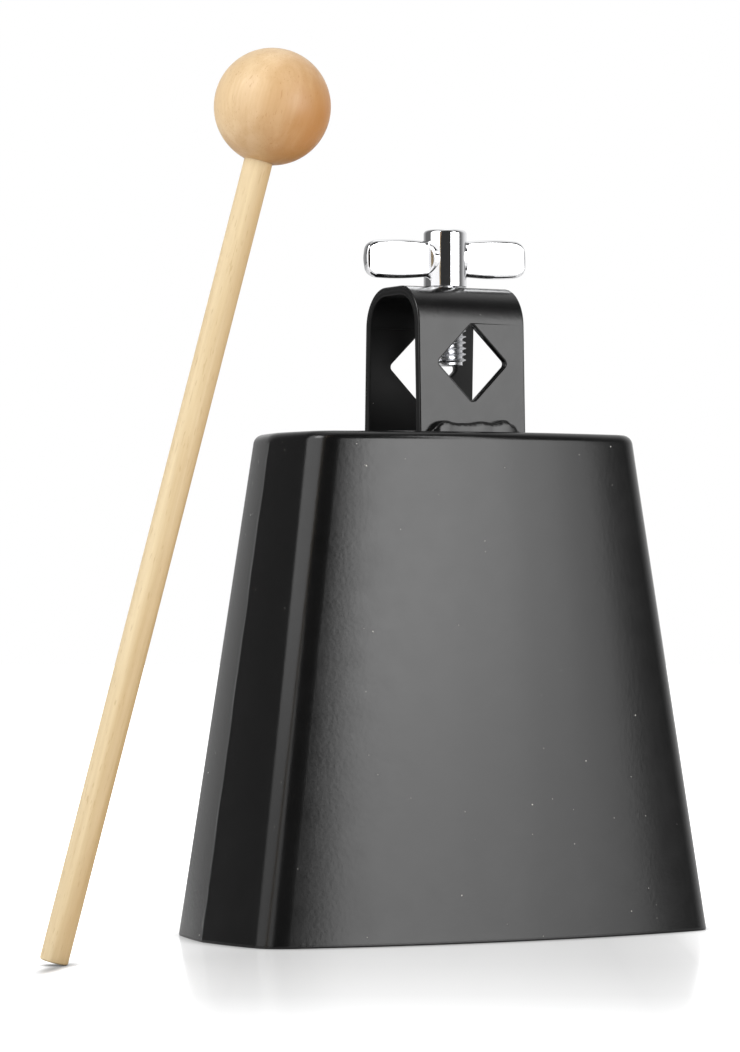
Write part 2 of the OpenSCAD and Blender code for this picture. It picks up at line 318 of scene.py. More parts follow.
# %% [markdown]
# ## Chrome and zinc
#
# The head and its wings are polished and chromed, so they are nearly mirrors: what makes them look
# real is a trace of unevenness under the plating. The stud is bright zinc, which is duller, a
# little blue, and dulls unevenly.

# %% The metals
def plated(name, colour, second_colour, gloss_low, gloss_high, wave, wave_depth, patch_size):
    """A plated metal whose gloss and tint vary in patches, over a soft wave in the surface."""
    material, tree, shader, place = new_material(name, Metallic=1.0)
    patch = noise(tree, place, patch_size, 4, 0.65)
    tree.links.new(blend_colour(tree, patch, colour, second_colour), shader.inputs["Base Color"])
    tree.links.new(ramp(tree, patch, gloss_low, gloss_high, 0.3, 0.7), shader.inputs["Roughness"])
    tree.links.new(bump(tree, noise(tree, place, wave, 1, 0.4), wave_depth), shader.inputs["Normal"])
    return material


chrome = plated("polished_chrome", (0.93, 0.93, 0.94), (0.88, 0.885, 0.90), 0.03, 0.09, 2.5, 0.004, 4)
zinc = plated("bright_zinc", (0.78, 0.79, 0.82), (0.62, 0.62, 0.63), 0.16, 0.32, 0.6, 0.006, 1.5)
print("metals", chrome.name, zinc.name)

# %% [markdown]
# ## Mallet wood
#
# Both mallet pieces are pale, close grained wood. In the mallet's own directions the grain runs
# along the stick, so the coordinates are first turned into them by a Mapping node in Texture mode,
# which undoes the mallet's lean. Fine noise, stretched along the grain, makes the fibres, a coarser
# one the faint growth layers, and thin dark dashes are the pores. Shade is painted into the colour:
# towards the side away from the light on the left, and on the ball also towards its underside, the
# colour deepens, by an edge that the layers make uneven.

# %% The mallet's lean and place
mallet_lean, mallet_heading = 14.3, -28
mallet_aside, mallet_ahead = 126.9, 41.5
mallet_len, ball_r, stick_radius, foot_round = 219.8, 13.7, 3.375, 0.5
ball_up = mallet_len - ball_r
mallet_foot = bell_axis + mm(-mallet_aside, -mallet_ahead, 0)
mallet_foot.z = (foot_round + (stick_radius - foot_round) * sin(radians(mallet_lean))
                 - foot_round * cos(radians(mallet_lean))) * MM
mallet_turn = (0, radians(mallet_lean), radians(mallet_heading))
mallet_place = (Matrix.Translation(mallet_foot) @ Matrix.Rotation(mallet_turn[2], 4, "Z")
                @ Matrix.Rotation(mallet_turn[1], 4, "Y"))
print("mallet foot", [round(v / MM, 2) for v in mallet_foot])


# %% The wood
def mallet_wood(name, pale, mid, deep, gloss, centre, way, from_low, from_high, side_shade, uneven):
    """Pale turned wood, deepened one way by painted shade: from_low and from_high are places along it.
    """
    material, tree, shader, place = new_material(name, IOR=1.45)
    own = add_node(tree, "ShaderNodeMapping",
                   {"Vector": place, "Location": mallet_foot, "Rotation": mallet_turn},
                   vector_type="TEXTURE").outputs[0]
    along = add_node(tree, "ShaderNodeMapping", {"Vector": own, "Scale": (1, 1, 0.045)}).outputs[0]
    fibre = noise(tree, along, 0.55, 4, 0.65)
    layer = noise(tree, along, 3.6, 2, 0.5, 0.6)
    grain = maths(tree, "ADD", maths(tree, "MULTIPLY", fibre, 0.5), maths(tree, "MULTIPLY", layer, 0.5))
    colour = blend_colour(tree, ramp(tree, grain, 0, 1, 0.36, 0.64), pale, mid)
    offset = add_node(tree, "ShaderNodeVectorMath", {0: own, 1: centre}, operation="SUBTRACT").outputs[0]
    across = add_node(tree, "ShaderNodeVectorMath", {0: offset, 1: Vector(way).normalized()},
                      operation="DOT_PRODUCT").outputs["Value"]
    # Painted shade: the colour turns deep towards one side, away from the light, along an edge made
    # uneven by the layers.
    drift = maths(tree, "MULTIPLY", maths(tree, "SUBTRACT", layer, 0.5),
                  (from_high - from_low) * uneven * MM)
    side = ramp(tree, maths(tree, "ADD", across, drift), 0, side_shade, from_low * MM, from_high * MM)
    colour = blend_colour(tree, side, colour, deep)
    dashes = noise(tree, add_node(tree, "ShaderNodeMapping",
                                  {"Vector": own, "Scale": (1, 1, 0.11)}).outputs[0], 0.32, 1, 0.3)
    pores = ramp(tree, dashes, 0, 1, 0.66, 0.74)
    tree.links.new(blend_colour(tree, maths(tree, "MULTIPLY", pores, 0.35), colour, deep),
                   shader.inputs["Base Color"])
    tree.links.new(ramp(tree, grain, gloss, gloss + 0.14, 0.3, 0.7), shader.inputs["Roughness"])
    relief = bump(tree, grain, 0.03)
    tree.links.new(bump(tree, pores, -0.02, relief), shader.inputs["Normal"])
    return material


# Both woods get painted shade towards the right, and the ball's also runs towards its underside.
ball_wood = mallet_wood("ball_wood", (0.83, 0.61, 0.36), (0.75, 0.52, 0.28), (0.44, 0.18, 0.035), 0.30,
                        mm(0, 0, ball_up), (1, 0, -0.34), -8, 12, 0.95, 0.3)
stick_wood = mallet_wood("stick_wood", (0.84, 0.68, 0.43), (0.76, 0.59, 0.35), (0.48, 0.30, 0.12), 0.46,
                         mm(0, 0, 0), (1, 0, 0), -1.8, 4.4, 0.85, 0.9)
print("woods", ball_wood.name, stick_wood.name)

# %% [markdown]
# ## Bell body
#
# The bell is two pressed shells welded at the narrow sides. Its section has four round corners
# between bowed faces, and a crease at each seam, where the two sheets meet at a slight angle.
# Each ring is drawn as arcs by spinning one vertex from centre to centre. Then the mouth's ring is
# bridged to the crown's, the crown is closed and its edge rounded as a fold, and the sheet gets its
# thickness inwards.

# %% Sizes of the bell
mouth_half, crown_half = (68.7, 35.0), (49.5, 25.5)
corner_r, fold_r, sheet_t = 9.0, 2.2, 1.2
face_bow, front_turns, rear_turns = 13.2, (14.3, 4.0), (14.0, 8.0)
bow_steps, corner_steps, seam_steps = 16, 20, 6
crown_rise, crown_tilt, crown_dome, dome_reach = 0.3, 0.2, 0.1, 12.0
crown_strip_w, crown_strips, rim_r, rim_cut, fold_cut, seam_least_x = 7, 6, 0.35, 0.9, 0.6, 40
print("half widths and depths of mouth and crown, mm", mouth_half, crown_half)


# %% A ring of the bell
def quarter_arcs(half_w, half_d, turns):
    """Centre, sweep and steps of the three arcs from the middle of a broad face to the seam."""
    join, meet, bow = radians(90 - turns[0]), radians(90 - turns[1]), radians(face_bow)
    a, b = sin(bow), sin(meet) - sin(join)
    c, e = 1 - cos(bow), cos(join) - cos(meet)
    m = half_w - corner_r * sin(join) + corner_r * sin(bow)
    n = half_d - corner_r * cos(bow) + corner_r * cos(join)
    broad, narrow = (m * e - b * n) / (a * e - b * c), (a * n - c * m) / (a * e - b * c)
    return [((0, broad - half_d), bow, bow_steps),
            (((broad - corner_r) * sin(bow), broad - half_d - (broad - corner_r) * cos(bow)),
             join - bow, corner_steps),
            ((half_w - narrow * sin(meet), narrow * cos(meet)), meet - join, seam_steps)]


def bell_ring(bm, half_w, half_d, z):
    """The closed ring of the section at height z, as edges."""
    arcs = quarter_arcs(half_w, half_d, front_turns)
    rear_arcs = reversed(quarter_arcs(half_w, half_d, rear_turns))
    arcs += [((x, -y), sweep, steps) for (x, y), sweep, steps in rear_arcs]
    tip = bm.verts.new(mm(0, -half_d, z))
    for (x, y), sweep, steps in arcs:
        swept = bmesh.ops.spin(bm, geom=[tip], cent=mm(x, y, z), axis=(0, 0, 1), angle=sweep,
                               steps=steps, use_duplicate=False)
        tip = verts_of(swept["geom_last"])[0]
    ring = [v for v in bm.verts if abs(v.co.z - z * MM) < TOUCH]
    edges = list({e for v in ring for e in v.link_edges})
    copy = bmesh.ops.duplicate(bm, geom=ring + edges)["geom"]
    bmesh.ops.scale(bm, vec=(-1, 1, 1), verts=verts_of(copy))


# %% The folded shell
bm = bmesh.new()
bell_ring(bm, *mouth_half, 0)
bell_ring(bm, *crown_half, body_h)
bmesh.ops.remove_doubles(bm, verts=bm.verts[:], dist=TOUCH)
bmesh.ops.bridge_loops(bm, edges=bm.edges[:])
upright = [e for e in bm.edges if abs(e.verts[0].co.z - e.verts[1].co.z) > MM]
bmesh.ops.subdivide_edges(bm, edges=upright, cuts=9, use_grid_fill=True)
crown_edge = [e for e in bm.edges if e.is_boundary and e.verts[0].co.z > (body_h - 1) * MM]
bmesh.ops.contextual_create(bm, geom=crown_edge)
bmesh.ops.recalc_face_normals(bm, faces=bm.faces[:])
round_edges(bm, crown_edge, fold_r, 8)
bmesh.ops.recalc_face_normals(bm, faces=bm.faces[:])

# %% [markdown]
# The crown isn't quite flat: pressing left it a little domed, and higher on the right. The top face
# is cut into strips, which let it bend, and every vertex near the top then rises by its share.
# Two cuts around the shell, by the rim and by the fold, keep their rounding out of the tall faces.

# %% The domed crown and the sheet's thickness
for k in range(-crown_strips, crown_strips + 1):
    crown = [f for f in bm.faces if f.normal.z > 0.999]
    parts = list({g for f in crown for g in (f, *f.edges, *f.verts)})
    bmesh.ops.bisect_plane(bm, geom=parts, plane_co=mm(crown_strip_w * k, 0, 0), plane_no=(1, 0, 0))
for v in bm.verts:
    near_top = max(0, 1 - (body_h - v.co.z / MM) / dome_reach)
    along = v.co.x / MM / crown_half[0]
    v.co.z += MM * near_top * (crown_rise + crown_tilt * along - crown_dome * along ** 2)
for z in (rim_cut, body_h - fold_r - fold_cut):
    bmesh.ops.bisect_plane(bm, geom=bm.faces[:] + bm.edges[:] + bm.verts[:], plane_co=mm(0, 0, z),
                           plane_no=(0, 0, 1))
bmesh.ops.solidify(bm, geom=bm.faces[:], thickness=sheet_t * MM)
for v in bm.verts:
    if v.co.z < 0.5 * MM:
        v.co.z = 0
rim = [e for e in bm.edges if max(v.co.z for v in e.verts) < TOUCH and e.calc_face_angle(0) > 1]
round_edges(bm, rim, rim_r, 3)
for v in bm.verts:
    v.co.z = max(0, v.co.z)
bmesh.ops.translate(bm, vec=bell_axis, verts=bm.verts[:])
bell_shell = new_object("bell_shell", bm)
shade(bell_shell, 60)
for edge in bell_shell.data.edges:
    ends = [bell_shell.data.vertices[i].co - bell_axis for i in edge.vertices]
    at_seam = all(abs(end.y) < TOUCH and abs(end.x) > seam_least_x * MM for end in ends)
    edge.use_edge_sharp = edge.use_edge_sharp or at_seam
finish_piece(bell_shell, "bell", "body_paint", body_paint, "bell_body")

# %% [markdown]
# ## Seam welds
#
# Each seam is ground nearly flush and painted over, so it reads as a soft ridge on the crease that
# wanders a little. An outline across the seam is extruded up the side, and each new one is set on
# the two sheets that meet there. One small gouge near the rim is left from grinding.

# %% The seams
seam_w, seam_margin, seam_taper, seam_t = 3.0, 1.5, 3, 0.15
seam_rows, crease_r = 120, 0.2
seam_proud, side_sunk, end_sunk = 0.012, 0.03, 0.06
seam_swings = [(0.07, 0.19, 2), (0.05, 0.43, 0.5), (0.02, 1.1, 0)]
gouge_h, gouge_depth, gouge_long, gouge_wide, gouge_aside, gouge_slant = 15.5, 0.16, 1.3, 0.3, 0.1, 0.15
seam_across = [-1, -0.8, -0.6, -0.42, -0.28, -0.16, -0.06, 0.06, 0.16, 0.28, 0.42, 0.6, 0.8, 1]
seam_back = (0.9, -0.9)


def seam_point(u, z, side):
    """A point of the ridge: u runs across it from the front, -1, to the rear, 1."""
    share = z / body_h
    x = mouth_half[0] + (crown_half[0] - mouth_half[0]) * share
    reach = u * seam_w / 2
    turns = front_turns if u < 0 else rear_turns
    slope = radians(turns[1] + (turns[0] - turns[1]) / (2 * seam_steps))
    fall = (hypot(reach, crease_r) - crease_r) * tan(slope)
    below, above = z - seam_margin, body_h - fold_r - seam_margin - z
    ends = max(0, min(1, below / seam_taper, above / seam_taper))
    flat = (1 - u * u) ** 2
    hand = sum(swing * sin(z * rate + start) for swing, rate, start in seam_swings)
    proud = (seam_proud + hand * u) * flat * ends - side_sunk * u * u - end_sunk * (1 - ends)
    up, across = z - gouge_h, u + gouge_aside - gouge_slant * (z - gouge_h)
    gouge = gouge_depth * exp(-(up / gouge_long) ** 2 - (across / gouge_wide) ** 2)
    return mm(side * (x - fall + proud - gouge), reach, z)


def seam_ring(z, side):
    """The ridge's outline at height z, from front to rear, and two points sunk behind it."""
    back = [seam_point(u, z, side) - mm(side * seam_t, 0, 0) for u in seam_back]
    return [seam_point(u, z, side) for u in seam_across] + back


def seam_weld(name, side, node):
    """One ridge, drawn up the side from outline to outline and closed at both ends."""
    bm = bmesh.new()
    length = body_h - fold_r - 2 * seam_margin
    rings = [seam_ring(seam_margin + length * k / seam_rows, side) for k in range(seam_rows + 1)]
    loft(bm, rings)
    bmesh.ops.holes_fill(bm, edges=[e for e in bm.edges if e.is_boundary], sides=len(rings[0]))
    tidy_mesh(bm)
    bmesh.ops.translate(bm, vec=bell_axis, verts=bm.verts[:])
    piece = new_object(name, bm)
    shade(piece, 50)
    finish_piece(piece, "bell", "body_paint", body_paint, node)


seam_weld("left_seam_ridge", -1, "left_seam_weld")
seam_weld("right_seam_ridge", 1, "right_seam_weld")

# %% [markdown]
# ## Mounting bracket
#
# The bracket is one strap bent twice, a little short of square, so its legs stand slightly apart
# at their feet. An edge as wide as the strap is extruded up the front leg, spun round the first
# bend, drawn across the crest, spun round the second bend and extruded down the rear leg. It then
# gets its thickness. The square rod hole goes through both legs in one cut, and the tapped collar
# under the crest is joined on before its bore is cut. Last, the strap's sheared sides and the rims
# of the rod holes are rounded a little, as tumbling and paint leave them.

# %% Sizes of the bracket
strap_w, strap_t = 30.8, 2.4
leg_slope = atan2(leg_flare + bend_r, bend_z) - asin(bend_r / hypot(leg_flare + bend_r, bend_z))
leg_in = bracket_d / 2 - bend_y - bend_r * cos(leg_slope)
leg_up = bend_z + bend_r * sin(leg_slope)
clamp_aside, cut_over, sheared_r = 0.5, 1, 0.5
clamp_axis = bell_axis + mm(clamp_aside, 0, 0)
rod_hole, rod_hole_r, rod_axis_h = 14.3, 1.2, 18.1
rod_hole_aside, rod_hole_skew, strap_aside = 0.25, radians(-1.2), -0.15
collar_r, collar_drop, bore_r = 6.8, 3.6, 5.4
crown_z = body_h
crest_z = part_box("mount_bracket")[1].z / MM
print("bracket's crest", round(crest_z, 2), "above the rim")


# %% The strap
def cylinder(radius, z_low, z_high, segments=64):
    """An upright cylinder on the screw's axis, as an object."""
    bm = bmesh.new()
    bmesh.ops.create_cone(bm, cap_ends=True, segments=segments, radius1=radius * MM, radius2=radius * MM,
                          depth=(z_high - z_low) * MM)
    bmesh.ops.translate(bm, vec=clamp_axis + mm(0, 0, (z_low + z_high) / 2), verts=bm.verts[:])
    return new_object("tool", bm)


bm = bmesh.new()
ends = [bm.verts.new(mm(x, -bracket_d / 2, 0)) for x in (-strap_w / 2, strap_w / 2)]
run = [bm.edges.new(ends)]


def draw_out(run, vec):
    """Extrudes the edge by a vector in millimetres, and returns the new edge."""
    made = bmesh.ops.extrude_edge_only(bm, edges=run)["geom"]
    bmesh.ops.translate(bm, vec=mm(*vec), verts=verts_of(made))
    return [e for e in edges_of(made) if len(e.link_faces) == 1]


def bend(run, y):
    """Spins the edge about the bend's own axis, from a leg to the crest, and returns the new edge."""
    made = bmesh.ops.spin(bm, geom=run, cent=mm(0, y, bend_z), axis=(-1, 0, 0),
                          angle=pi / 2 - leg_slope, steps=16, use_duplicate=False)["geom_last"]
    return [g for g in made if isinstance(g, bmesh.types.BMEdge)]


run = draw_out(run, (0, leg_in, leg_up))
run = bend(run, -bend_y)
run = draw_out(run, (0, 2 * bend_y, 0))
run = bend(run, bend_y)
run = draw_out(run, (0, leg_in, -leg_up))
tidy_mesh(bm)
print("strap ribbon", len(bm.faces), "faces, highest", round(max(v.co.z for v in bm.verts) / MM, 3))
if next(f for f in bm.faces if abs(f.normal.z) > 0.99).normal.z < 0:
    bmesh.ops.reverse_faces(bm, faces=bm.faces[:])
bmesh.ops.solidify(bm, geom=bm.faces[:], thickness=strap_t * MM)
for v in bm.verts:
    if v.co.z < MM:
        v.co.z = 0
bmesh.ops.translate(bm, vec=clamp_axis + mm(strap_aside, 0, crown_z), verts=bm.verts[:])
bracket = new_object("bent_strap", bm)

# %% The rod hole, the collar and the bore
leg_from, foot_to = 10.5, 5
bm = bmesh.new()
bmesh.ops.create_cone(bm, cap_ends=True, segments=4, radius1=rod_hole / sqrt(2) * MM,
                      radius2=rod_hole / sqrt(2) * MM, depth=(bracket_d + 4 * cut_over) * MM)
corners = [e for e in bm.edges if abs(e.verts[0].co.z - e.verts[1].co.z) > MM]
round_edges(bm, corners, rod_hole_r, 6)
turn = Matrix.Rotation(rod_hole_skew, 3, "Z") @ Matrix.Rotation(pi / 2, 3, "X")
bmesh.ops.rotate(bm, cent=(0, 0, 0), matrix=turn, verts=bm.verts[:])
bmesh.ops.translate(bm, vec=clamp_axis + mm(rod_hole_aside, 0, crown_z + rod_axis_h), verts=bm.verts[:])
carve(bracket, new_object("tool", bm))
carve(bracket, cylinder(collar_r, crest_z - strap_t - collar_drop, crest_z - strap_t / 2), "UNION")
carve(bracket, cylinder(bore_r, crest_z - strap_t - collar_drop - cut_over, crest_z + cut_over))
bm = reopen(bracket)
bmesh.ops.dissolve_limit(bm, angle_limit=radians(0.5), verts=bm.verts[:], edges=bm.edges[:])


def on_outline(edge):
    """Whether an edge lies on the strap's sides or on a rod hole."""
    at = (edge.verts[0].co + edge.verts[1].co) / 2 - clamp_axis - mm(strap_aside, 0, crown_z)
    on_side = abs(abs(at.x) - strap_w / 2 * MM) < 10 * TOUCH
    return on_side or (abs(at.y) > leg_from * MM and at.z > foot_to * MM)


sharp = [e for e in bm.edges if e.is_manifold and e.calc_face_angle() > radians(50)]
round_edges(bm, [e for e in sharp if on_outline(e)], sheared_r, 4)
bmesh.ops.recalc_face_normals(bm, faces=bm.faces[:])
close_up(bracket, bm)
shade(bracket, 40)
even_shading(bracket)
finish_piece(bracket, "bell", "bracket_paint", bracket_paint, "mount_bracket")

# %% [markdown]
# ## Bracket welds
#
# A fillet weld is laid as a row of small overlapping puddles, and swells and thins with the
# welder's hand. A rounded corner of vertices is extruded along the foot of the leg. Each new one is
# scaled by the bead's swelling and bowed along the bead in its middle, which gives the ripples
# their crescent shape. The last puddle keeps its crater.

# %% The beads
fillet_leg, fillet_len = 3.3, 25.4
fillet_shares = [0.25, 0.8, 1, 1.02, 0.9, 0.84, 0.82, 0.84, 0.82, 0.88, 0.98, 1, 0.94, 0.86,
                 0.98, 1.12, 1.14, 1, 0.72, 0.25]
bead_rows, bead_round = 130, 14
bead_full, bead_fit, bead_out, out_swell = 0.36, 0.985, 0.95, 0.3
ripples, ripple_depth, ripple_bow = 13, 0.005, 0.25
crater_depth, crater_at, crater_size = 0.2, (0.9, 0.6), (0.03, 0.25)
bead_end = 0.2


def bead_share(s):
    """The bead's size at share s of its length, as a smooth curve through the chosen shares."""
    total = 0
    for shift in (-0.02, -0.01, 0, 0.01, 0.02):
        place = min(1, max(0, s + shift)) * (len(fillet_shares) - 1)
        i = min(int(place), len(fillet_shares) - 2)
        total += fillet_shares[i] + (fillet_shares[i + 1] - fillet_shares[i]) * (place - i)
    return total / 5


def bead_point(s, u):
    """A point of the bead: s along it, and u round it from the crown, 0, up to the leg, 1."""
    angle = u * pi / 2
    ripple = 1 + ripple_depth * sin(2 * pi * s * ripples) * sin(pi * u)
    off_s, off_u = (s - crater_at[0]) / crater_size[0], (u - crater_at[1]) / crater_size[1]
    size = fillet_leg * ripple * (1 - crater_depth * exp(-off_s ** 2 - off_u ** 2)) * bead_fit
    share = bead_share(s)
    out = bead_out * size * share ** out_swell * cos(angle) ** bead_full
    up = size * share * sin(angle) ** bead_full
    bow = ripple_bow * sin(pi * u) * min(1, 8 * s, 8 * (1 - s))
    x = (s - 0.5) * (fillet_len - 2 * bead_end) + bow
    x = max(-fillet_len / 2, min(fillet_len / 2, x))
    return mm(x, up * tan(leg_slope) - bracket_d / 2 - out, crown_z + up)


def bead_ring(s):
    """The bead's outline from the crown round to the leg, and the corner behind it."""
    around = [bead_point(s, k / bead_round) for k in range(bead_round + 1)]
    return around + [mm((s - 0.5) * fillet_len, -bracket_d / 2, crown_z)]


def bracket_weld(name, node, turn):
    """One bead, closed under and behind, turned about the bell's axis."""
    bm = bmesh.new()
    rings = [bead_ring(k / bead_rows) for k in range(bead_rows + 1)]
    loft(bm, rings)
    bmesh.ops.holes_fill(bm, edges=[e for e in bm.edges if e.is_boundary], sides=len(rings[0]))
    tidy_mesh(bm)
    bmesh.ops.rotate(bm, cent=(0, 0, 0), matrix=Matrix.Rotation(turn, 3, "Z"), verts=bm.verts[:])
    bmesh.ops.translate(bm, vec=bell_axis, verts=bm.verts[:])
    piece = new_object(name, bm)
    shade(piece, 60)
    finish_piece(piece, "bell", "bracket_paint", weld_paint, node)


bracket_weld("front_weld_bead", "front_bracket_weld", 0)
bracket_weld("rear_weld_bead", "rear_bracket_weld", pi)

# %% [markdown]
# ## Threaded stud
#
# A thread is a profile of one pitch carried up a helix. A spin with an upward step does exactly
# that, and because the step adds up to one pitch a turn, the top of each turn lies on the foot of
# the next, where merging joins them. Cutting the coil level at both ends and drawing the tip in to
# a cone leaves the lead-in of a real screw.

# %% The thread
thread_d, pitch, thread_len, thread_depth_share = 10.7, 1.5, 19.8, 0.61
root_r = thread_d / 2 - thread_depth_share * pitch
head_r, head_h, head_gap, wing_axis_h = 5.55, 14.6, 0.3, 7.2
neck_r, neck_below, neck_above = 0.55 * head_r, 0.6, 1.9
steps_per_turn, tip_cone = 48, 0.9

bm = bmesh.new()
profile = [(root_r, 0), (root_r, 0.19), (thread_d / 2 - 0.03, 0.66), (thread_d / 2, 0.75),
           (thread_d / 2 - 0.03, 0.84), (root_r, 1.31), (root_r, pitch)]
turns = int(thread_len / pitch) + 3
line, edges = chain(bm, [mm(r, 0, z - 1.5 * pitch) for r, z in profile], closed=False)
bmesh.ops.spin(bm, geom=line + edges, cent=(0, 0, 0), axis=(0, 0, 1),
               dvec=mm(0, 0, pitch / steps_per_turn), angle=2 * pi * turns,
               steps=steps_per_turn * turns, use_duplicate=False)
bmesh.ops.remove_doubles(bm, verts=bm.verts[:], dist=2 * TOUCH)
for level, way in ((0, -1), (thread_len, 1)):
    bmesh.ops.bisect_plane(bm, geom=bm.verts[:] + bm.edges[:] + bm.faces[:], plane_co=mm(0, 0, level),
                           plane_no=(0, 0, way), clear_outer=True)
print("thread", len(bm.faces), "faces, boundary edges", sum(e.is_boundary for e in bm.edges))
for v in bm.verts:
    reach = (thread_d / 2 - tip_cone) * MM + v.co.z
    radius = v.co.xy.length
    if radius > reach:
        v.co.xy *= reach / radius
for level in (0, thread_len):
    open_edges = [e for e in bm.edges if e.is_boundary]
    ring = [e for e in open_edges if all(abs(v.co.z - level * MM) < 10 * TOUCH for v in e.verts)]
    bmesh.ops.edgeloop_fill(bm, edges=ring)
tidy_mesh(bm)
bmesh.ops.translate(bm, vec=clamp_axis + mm(0, 0, crest_z - thread_len), verts=bm.verts[:])
stud = new_object("wing_screw_stud", bm)
neck = cylinder(neck_r, crest_z - neck_below, crest_z + head_gap + neck_above, 40)
carve(stud, neck, "UNION")
shade(stud, 28)
finish_piece(stud, "clamp_stud", "zinc_plate", zinc, "threaded_stud")

# %% [markdown]
# ## Screw head
#
# The head is a plain turned cylinder with a round top edge, drilled across for the wing bar and
# from below for the stud. The drilled rims are rounded too, because chrome needs a soft edge to
# catch a line of light.

# %% The head
head_top_r, head_foot_r, drilled_r = 1.0, 0.12, 0.22
core_gap, core_hole_len, neck_gap, neck_hole_depth = 0.03, 30, 0.05, 2.11
wing_core_r, wing_turn, wing_tilt = 4.35, radians(-4.5), radians(1.3)
head_foot = crest_z + head_gap


def along_bar(bm):
    """Turns a shape that was built along X into the wing bar's place."""
    turn = Matrix.Rotation(wing_turn, 3, "Z") @ Matrix.Rotation(-wing_tilt, 3, "Y")
    bmesh.ops.rotate(bm, cent=(0, 0, 0), matrix=turn, verts=bm.verts[:])
    bmesh.ops.translate(bm, vec=clamp_axis + mm(0, 0, head_foot + wing_axis_h), verts=bm.verts[:])


head = cylinder(head_r, head_foot, head_foot + head_h, 96)
head.name = "chromed_head"
bm = reopen(head)
for level, radius, segments in ((head_foot + head_h, head_top_r, 6), (head_foot, head_foot_r, 3)):
    rim = [e for e in bm.edges if all(abs(v.co.z - level * MM) < 10 * TOUCH for v in e.verts)]
    round_edges(bm, rim, radius, segments)
close_up(head, bm)
bm = bmesh.new()
bmesh.ops.create_cone(bm, cap_ends=True, segments=72, radius1=(wing_core_r + core_gap) * MM,
                      radius2=(wing_core_r + core_gap) * MM, depth=core_hole_len * MM)
bmesh.ops.rotate(bm, cent=(0, 0, 0), matrix=Matrix.Rotation(pi / 2, 3, "Y"), verts=bm.verts[:])
along_bar(bm)
carve(head, new_object("tool", bm))
carve(head, cylinder(neck_r + neck_gap, head_foot - cut_over, head_foot + neck_hole_depth, 40))
bm = reopen(head)
bmesh.ops.dissolve_limit(bm, angle_limit=radians(0.3), verts=bm.verts[:], edges=bm.edges[:])
soften(bm, drilled_r, 3, 40)
bmesh.ops.recalc_face_normals(bm, faces=bm.faces[:])
close_up(head, bm)
shade(head, 35)
even_shading(head)
finish_piece(head, "wing_head", "chrome_plate", chrome, "screw_head")

# %% [markdown]
# ## Wing bar
#
# The wings are one round bar, pressed flat at both ends. A ring of vertices starts round in the
# head, is extruded outwards, and each new ring is set to a rounded rectangle that is thinner and
# taller, so the round runs into the flat over a short shoulder, as a press die leaves it. The tips
# are drawn in to a soft end.

# %% The wings
quarter_steps = 8
wing_t, wing_root_h, wing_h, wing_tip, wing_corner_r = 3.2, 9.1, 10.0, 22.5, 1.25
root_x, shoulder = 4.6, 0.8
tip_len, tip_share, edge_len, edge_r = 3.2, 0.82, 1.1, 0.75


def rounded_section(half_thick, half_high, radius):
    """Points of a rounded rectangle, across and up. A circle is the case where all are equal."""
    points = []
    for quarter, (sx, sz) in enumerate(((1, 1), (-1, 1), (-1, -1), (1, -1))):
        for k in range(quarter_steps + 1):
            turn = pi / 2 * (quarter + k / quarter_steps)
            points.append((sx * (half_thick - radius) + radius * cos(turn),
                           sz * (half_high - radius) + radius * sin(turn)))
    return points


def rounding(x, length):
    """How far the bar has drawn in at x, from 0 to 1 over the last length before the tip."""
    share = max(0, (x - (wing_tip - length)) / length)
    return 1 - sqrt(max(0, 1 - share * share))


def wing_station(x):
    """Half thickness, half height and corner radius of the bar at a distance from its middle."""
    pressed = min(1, max(0, (x - root_x) / shoulder))
    pressed = pressed * pressed * (3 - 2 * pressed)
    flat_x = root_x + shoulder
    t = min(1, max(0, (x - flat_x) / (wing_tip - flat_x)))
    swell = (wing_root_h + (wing_h - wing_root_h) * sin(pi * t)) / 2
    high = swell - tip_len * rounding(x, tip_len) * tip_share - edge_r * rounding(x, edge_len)
    thick = wing_t / 2 - edge_r * rounding(x, edge_len)
    thick = wing_core_r + (thick - wing_core_r) * pressed
    high = wing_core_r + (high - wing_core_r) * pressed
    radius = wing_core_r + (min(wing_corner_r, thick) - wing_core_r) * pressed
    return thick, high, min(radius, thick, high)


def wing_ring(x):
    """The bar's section at a distance from its middle."""
    return [mm(x, y, z) for y, z in rounded_section(*wing_station(x))]


stations = [0, 2.5, root_x] + [root_x + shoulder * k / 10 for k in range(1, 11)]
stations += [6.5, 8, 10, 12, 14, 16, 17.5, 18.6]
stations += [wing_tip - tip_len * cos(pi / 2 * k / 12) for k in range(13)]
stations = sorted(set(round(x, 4) for x in stations))
bm = bmesh.new()
bmesh.ops.edgeloop_fill(bm, edges=loft(bm, [wing_ring(x) for x in stations]))
half = bmesh.ops.duplicate(bm, geom=bm.verts[:] + bm.edges[:] + bm.faces[:])["geom"]
bmesh.ops.rotate(bm, cent=(0, 0, 0), matrix=Matrix.Rotation(pi, 3, "Z"), verts=verts_of(half))
tidy_mesh(bm)
along_bar(bm)
wings = new_object("pressed_wings", bm)
shade(wings, 50)
even_shading(wings)
finish_piece(wings, "wing_head", "chrome_plate", chrome, "wing_bar")

# %% [markdown]
# ## Mallet
#
# Both pieces are turned, so both are spun profiles. The ball's profile runs up its socket, round
# the socket's small chamfer and over the sphere. The stick's runs over its rounded foot and up to
# the end that sits in the ball. They are modelled upright and then take the mallet's lean.

# %% A turned shape
def spun(name, profile, segments):
    """Spins a profile of (radius, height) points in millimetres once round, and takes the lean."""
    bm = bmesh.new()
    line, edges = chain(bm, [mm(r, 0, z) for r, z in profile], closed=False)
    bmesh.ops.spin(bm, geom=line + edges, cent=(0, 0, 0), axis=(0, 0, 1), angle=2 * pi,
                   steps=segments, use_merge=True, use_duplicate=False)
    tidy_mesh(bm)
    bmesh.ops.transform(bm, matrix=mallet_place, verts=bm.verts[:])
    return new_object(name, bm)


